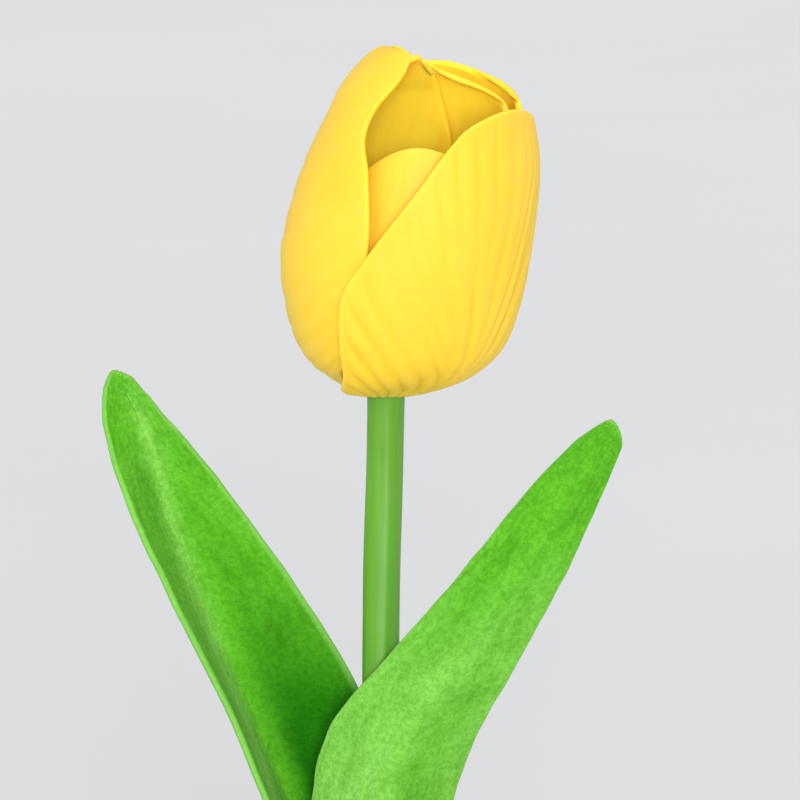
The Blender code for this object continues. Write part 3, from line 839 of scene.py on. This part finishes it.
def make_stem(finish):
    """A round stalk with a few soft flats along it, extruded from its foot up into the bloom."""
    route = stem_route()
    start_fresh()
    bpy.ops.mesh.primitive_circle_add(
        vertices=STEM_SIDES, radius=STEM_RADIUS, location=route[0], fill_type="NGON",
    )
    stalk = bpy.context.object
    bpy.ops.object.mode_set(mode="EDIT")
    bpy.ops.mesh.select_all(action="SELECT")
    place = route[0]
    for step in range(1, STEM_STRETCHES + 1):
        ahead = along(route, step / STEM_STRETCHES)
        bpy.ops.mesh.extrude_region_move(TRANSFORM_OT_translate={"value": ahead - place})
        place = ahead
    bpy.ops.object.mode_set(mode="OBJECT")
    bpy.ops.object.transform_apply(location=True, rotation=True, scale=True)
    for vertex in stalk.data.vertices:
        share = min(1.0, max(0.0, (vertex.co.z - route[0].z) / (route[-1].z - route[0].z)))
        middle = along(route, share)
        out = Vector((vertex.co.x - middle.x, vertex.co.y - middle.y, 0))
        turn = math.atan2(out.y, out.x)
        flats = 0.022 * math.cos(5 * turn + 0.9) + 0.012 * math.cos(9 * turn + 7 * share)
        uneven = 0.02 * noise.noise(Vector((math.cos(turn), math.sin(turn), vertex.co.z * 60)))
        vertex.co += out * (flats + uneven - 0.02)
    point_faces_outwards(stalk)
    bpy.ops.object.shade_smooth_by_angle(angle=math.radians(50))
    hand_in(stalk, "green_stem", finish, "stem")


# Pot and soil

def pot_outer_radius(height):
    """The radius of the pot's outer wall under the rim band."""
    top = POT_RIM_RADIUS - POT_RIM_STEP - POT_BAND_TAPER
    share = height / (POT_HEIGHT - POT_RIM_DEPTH)
    return POT_FOOT_RADIUS + (top - POT_FOOT_RADIUS) * share


def pot_inner_radius(height):
    return pot_outer_radius(height) - POT_WALL


def make_pot(finish):
    """A clay pot with a rim band, thrown a little unevenly, with turning ridges."""
    band_foot = POT_HEIGHT - POT_RIM_DEPTH
    # Radius, height and rounding of each corner of the wall, from the drain hole outwards and back
    corners = (
        (DRAIN_RADIUS, 0, 0.8 * MM),
        (pot_outer_radius(0), 0, 1.4 * MM),
        (pot_outer_radius(band_foot), band_foot, 0.5 * MM),
        (POT_RIM_RADIUS - POT_BAND_TAPER, band_foot, 1.2 * MM),
        (POT_RIM_RADIUS, POT_HEIGHT, 1.8 * MM),
        (pot_inner_radius(POT_HEIGHT), POT_HEIGHT, 1.6 * MM),
        (pot_inner_radius(POT_FLOOR), POT_FLOOR, 3 * MM),
        (DRAIN_RADIUS, POT_FLOOR, 0.8 * MM),
    )
    profile = []
    for place, (radius, height, rounding) in enumerate(corners):
        after = corners[(place + 1) % len(corners)][:2]
        profile += eased_corner(corners[place - 1][:2], (radius, height), after, rounding)
    pot = thrown(filled_in(profile, POT_RING_SPACING), POT_SIDES, closed=True)
    for vertex in pot.data.vertices:
        x, y, z = vertex.co
        turn = math.atan2(y, x)
        radius = math.hypot(x, y)
        if z < 1.6 * MM or radius < 1.2 * DRAIN_RADIUS:
            continue
        wobble = 0.12 * math.cos(2 * turn + 1) + 0.3 * noise.noise(Vector((x, y, z)) * 26)
        ridge = 0.07 * math.sin(z / MM * 1.9 + turn) + 0.05 * math.sin(z / MM * 4.7 + 2 * turn)
        grow = 1 + (wobble + ridge - 0.15) * MM / radius
        vertex.co.x *= grow
        vertex.co.y *= grow
    pick(pot)
    bpy.ops.object.shade_smooth_by_angle(angle=math.radians(40))
    hand_in(pot, "clay_pot", finish, "pot")


def soil_height(x, y):
    """The soil's surface: broad swells as in the solid, with finer clods on top."""
    middle = math.hypot(x, y)
    swell = noise.noise(Vector((x, y, 0)) * 55) + 0.5 * noise.noise(Vector((x, y, 0.02)) * 140)
    from_wall = smooth_step(0, 12 * MM, pot_inner_radius(SOIL_TOP) - middle)
    from_stem = smooth_step(8 * MM, 14 * MM, middle)
    clods = noise.noise(Vector((x, y, 0.3)) * 420) + 0.6 * noise.noise(Vector((x, y, 0.5)) * 900)
    rough = CLOD_RELIEF * clods * smooth_step(4 * MM, 9 * MM, middle)
    return SOIL_TOP + SOIL_RELIEF * swell * from_stem + SOIL_HEAP * from_wall + rough


def make_soil(finish):
    """The filling of the pot, with a hole for the stem and a crumbly top."""
    wall = pot_inner_radius(SOIL_TOP) - TOUCH_GAP
    floor = POT_FLOOR + TOUCH_GAP
    hole = STEM_RADIUS + TOUCH_GAP
    foot = pot_inner_radius(floor) - TOUCH_GAP - 2.4 * MM
    profile = [(hole, floor), (foot, floor)]
    for ring in range(1, SOIL_WALL_RINGS + 1):
        share = ring / SOIL_WALL_RINGS
        profile.append((foot + (wall - foot) * share, floor + (SOIL_TOP - floor) * share))
    for ring in range(1, SOIL_RINGS + 1):
        profile.append((wall + (hole - wall) * ring / SOIL_RINGS, SOIL_TOP))
    soil = thrown(profile, SOIL_SIDES, closed=True)
    for vertex in soil.data.vertices:
        if vertex.co.z > SOIL_TOP - 0.01 * MM:
            vertex.co.z = soil_height(vertex.co.x, vertex.co.y)
    carry(soil, "tone", [0.35 + 0.3 * noise.noise(vertex.co * 300) for vertex in soil.data.vertices])
    pick(soil)
    bpy.ops.object.shade_smooth_by_angle(angle=math.radians(45))
    hand_in(soil, "potting_soil", finish, "soil")


def model_crumb():
    """One rough crumb of soil, a millimetre across."""
    start_fresh()
    bpy.ops.mesh.primitive_ico_sphere_add(subdivisions=2, radius=0.5 * MM)
    crumb = bpy.context.object
    for vertex in crumb.data.vertices:
        vertex.co *= 1 + 0.45 * noise.noise(vertex.co * 2600)
    return crumb


def make_crumbs(finish):
    """Crumbs strewn evenly over the soil round the stem, flat or lumpy, light or dark."""
    model = model_crumb()
    chance = random.Random(CRUMB_SEED)
    heap = bmesh.new()
    tones = []
    for _ in range(CRUMB_COUNT):
        bearing = chance.uniform(0, math.tau)
        reach = 8.2 * MM + (pot_inner_radius(SOIL_TOP) - 10.4 * MM) * math.sqrt(chance.random())
        x, y = reach * math.sin(bearing), reach * math.cos(bearing)
        size = 0.6 + 1.9 * chance.random() ** 3
        flat = Vector((size, size * chance.uniform(0.6, 1.4), size * chance.uniform(0.4, 0.9)))
        turn = Matrix.Rotation(chance.uniform(0, math.tau), 4, "Z")
        turn = turn @ Matrix.Rotation(chance.uniform(-0.5, 0.5), 4, "X")
        place = Matrix.Translation((x, y, soil_height(x, y) + 0.12 * size * MM))
        before = len(heap.verts)
        heap.from_mesh(model.data)
        heap.verts.ensure_lookup_table()
        fresh = heap.verts[before:]
        bmesh.ops.transform(heap, matrix=place @ turn @ Matrix.Diagonal((*flat, 1)), verts=fresh)
        tones += [chance.random() ** 1.6] * len(fresh)
    heap.to_mesh(model.data)
    heap.free()
    carry(model, "tone", tones)
    pick(model)
    bpy.ops.object.shade_smooth_by_angle(angle=math.radians(50))
    hand_in(model, "soil_crumbs", finish)


# Heart of the bloom

STAMEN_RING_RADIUS = 4.6 * MM
STAMEN_RING_HEIGHT = 5.4 * MM
STAMEN_RING_THICKNESS = 0.75 * MM
STAMEN_COUNT = 6
STAMEN_SPLAY = 0.16
FILAMENT_LENGTH = 8.5 * MM
FILAMENT_MIDDLE = 4.05 * MM
ANTHER_MIDDLE = 12.15 * MM
ANTHER_HALF_SIZE = (1.2 * MM, 0.95 * MM, 4.75 * MM)
PISTIL_SIDES = 72


def make_pistil(finish):
    """The ovary and its three frilled lobes."""
    foot = (STEM_INTO_BLOOM + TOUCH_GAP) / MM
    side = (
        (2.2, foot), (2.6, 5.2), (2.9, 8.0), (2.85, 10.0), (2.6, 12.0),
        (2.2, 14.6), (1.9, 17.0), (2.1, 17.8), (2.9, 18.6), (3.35, 19.4),
        (3.3, 20.1), (3.0, 20.6), (2.0, 20.9), (1.0, 21.0), (0.4, 20.7),
    )
    pistil = thrown([(radius * MM, height * MM) for radius, height in side], PISTIL_SIDES)
    pick(pistil)
    smooth = pistil.modifiers.new("soft", "SUBSURF")
    smooth.levels = smooth.render_levels = 1
    bpy.ops.object.modifier_apply(modifier="soft")
    for vertex in pistil.data.vertices:
        x, y, z = vertex.co
        turn = math.atan2(x, y)
        high = smooth_step(4 * MM, 18 * MM, z)
        lobes = 1 + 0.16 * math.cos(3 * turn) * high
        frill = 1 + 0.06 * math.cos(21 * turn) * smooth_step(18 * MM, 19.5 * MM, z)
        cleft = 0.5 * MM * math.cos(3 * turn) * smooth_step(20.2 * MM, 20.8 * MM, z)
        vertex.co = Vector((x * lobes * frill, y * lobes * frill, z + cleft - 0.3 * MM * high))
    pistil.data.transform(bloom_frame())
    point_faces_outwards(pistil)
    bpy.ops.object.shade_smooth()
    hand_in(pistil, "pistil_and_stigma", finish, "pistil")


def model_anther():
    """A long pollen sac with a groove down each side, standing on the end of its filament."""
    start_fresh()
    bpy.ops.mesh.primitive_uv_sphere_add(segments=32, ring_count=20, radius=1)
    anther = bpy.context.object
    for vertex in anther.data.vertices:
        x, y, z = vertex.co
        turn = math.atan2(y, x)
        groove = 1 - 0.3 * math.exp(-(math.sin(turn) / 0.28) ** 2)
        full = (1 - z ** 4) ** 0.5 if abs(z) < 1 else 0
        wide = math.hypot(x, y)
        grow = full / wide if wide > 0.001 else 0
        grain = 1 + 0.05 * noise.noise(Vector((x, y, z)) * 6)
        taper = 1 - 0.22 * (z + 1) / 2
        vertex.co = Vector((x * grow * groove * grain * taper, y * grow * grain * taper, z))
        vertex.co *= Vector(ANTHER_HALF_SIZE)
    return anther


def make_stamens(finish):
    """Six filaments with long anthers, standing on one low ring round the pistil's foot."""
    anther = model_anther()
    start_fresh()
    bpy.ops.mesh.primitive_torus_add(
        major_radius=STAMEN_RING_RADIUS, minor_radius=STAMEN_RING_THICKNESS,
        major_segments=72, minor_segments=14, location=(0, 0, STAMEN_RING_HEIGHT),
    )
    ring = bpy.context.object
    bpy.ops.object.transform_apply(location=True, rotation=True, scale=True)
    for number in range(STAMEN_COUNT):
        bearing = math.tau * (number + 0.5) / STAMEN_COUNT
        outward = Vector((math.sin(bearing), -math.cos(bearing), 0))
        lean = Vector((0, 0, 1)).rotation_difference(Vector((0, 0, 1)) + STAMEN_SPLAY * outward)
        foot = outward * STAMEN_RING_RADIUS + Vector((0, 0, STAMEN_RING_HEIGHT))
        start_fresh()
        bpy.ops.mesh.primitive_cone_add(
            vertices=20, radius1=0.8 * MM, radius2=0.5 * MM, depth=FILAMENT_LENGTH,
            location=foot + lean @ Vector((0, 0, FILAMENT_MIDDLE)), rotation=lean.to_euler(),
        )
        filament = bpy.context.object
        sac = anther.copy()
        sac.data = anther.data.copy()
        bpy.context.scene.collection.objects.link(sac)
        spin = Matrix.Rotation(bearing + math.pi / 2, 4, "Z")
        place = Matrix.Translation(foot + lean @ Vector((0, 0, ANTHER_MIDDLE)))
        sac.matrix_world = place @ lean.to_matrix().to_4x4() @ spin
        sac.select_set(True)
        filament.select_set(True)
        ring.select_set(True)
        bpy.context.view_layer.objects.active = ring
        bpy.ops.object.join()
    bpy.data.objects.remove(anther)
    ring.data.transform(bloom_frame())
    point_faces_outwards(ring)
    bpy.ops.object.shade_smooth_by_angle(angle=math.radians(55))
    hand_in(ring, "six_stamens", finish, "stamens")


# Studio

# Name, energy, spread, tip from overhead and swing from the front of each lamp, in degrees
LAMPS = (("soft_key", 0.65, 70, 55, -25), ("front_fill", 2.55, 16, 81, 3))
AIR_BRIGHTNESS = 0.77


def build_studio():
    """A plain pale floor, even air, a soft key from the upper left and a fill from beside the camera."""
    start_fresh()
    bpy.ops.mesh.primitive_plane_add(size=30)
    floor = bpy.context.object
    floor.name = "studio_floor"
    pale = Finish("pale_floor", 0.9)
    pale.shader.inputs["Specular IOR Level"].default_value = 0.1
    pale.colour(pale.ramp(pale.noise(3, 2), (0.3, (0.735, 0.735, 0.74)), (0.7, (0.75, 0.75, 0.755))))
    floor.data.materials.append(pale.material)
    for name, energy, spread, tip, swing in LAMPS:
        lamp = bpy.data.objects.new(name, bpy.data.lights.new(name, "SUN"))
        lamp.data.energy = energy
        lamp.data.angle = math.radians(spread)
        lamp.rotation_euler = (math.radians(tip), 0, math.radians(swing))
        bpy.context.scene.collection.objects.link(lamp)
    world = bpy.data.worlds.new("studio_air")
    world.use_nodes = True
    air = world.node_tree.nodes["Background"]
    air.inputs["Color"].default_value = (0.98, 0.99, 1.0, 1)
    air.inputs["Strength"].default_value = AIR_BRIGHTNESS
    bpy.context.scene.world = world
    bpy.context.scene.view_settings.view_transform = "Standard"


aim_camera()
make_petals(petal_finish())
make_leaves({
    "leaf_left": leaf_finish("leaf_green_left", (0.23, 0.56, 0.085)),
    "leaf_right": leaf_finish("leaf_green_right", (0.24, 0.56, 0.10)),
})
make_stem(stem_finish())
make_pistil(heart_finish("stigma_green", (0.42, 0.52, 0.10), (0.62, 0.66, 0.22), 0.55, 1400))
make_stamens(heart_finish("pollen_yellow", (0.72, 0.42, 0.02), (0.95, 0.68, 0.08), 0.8, 2400))
make_pot(clay_finish())
soil_colours = soil_finish()
make_soil(soil_colours)
make_crumbs(soil_colours)
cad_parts["bulb"].data.materials.clear()
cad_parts["bulb"].data.materials.append(skin_finish())
build_studio()
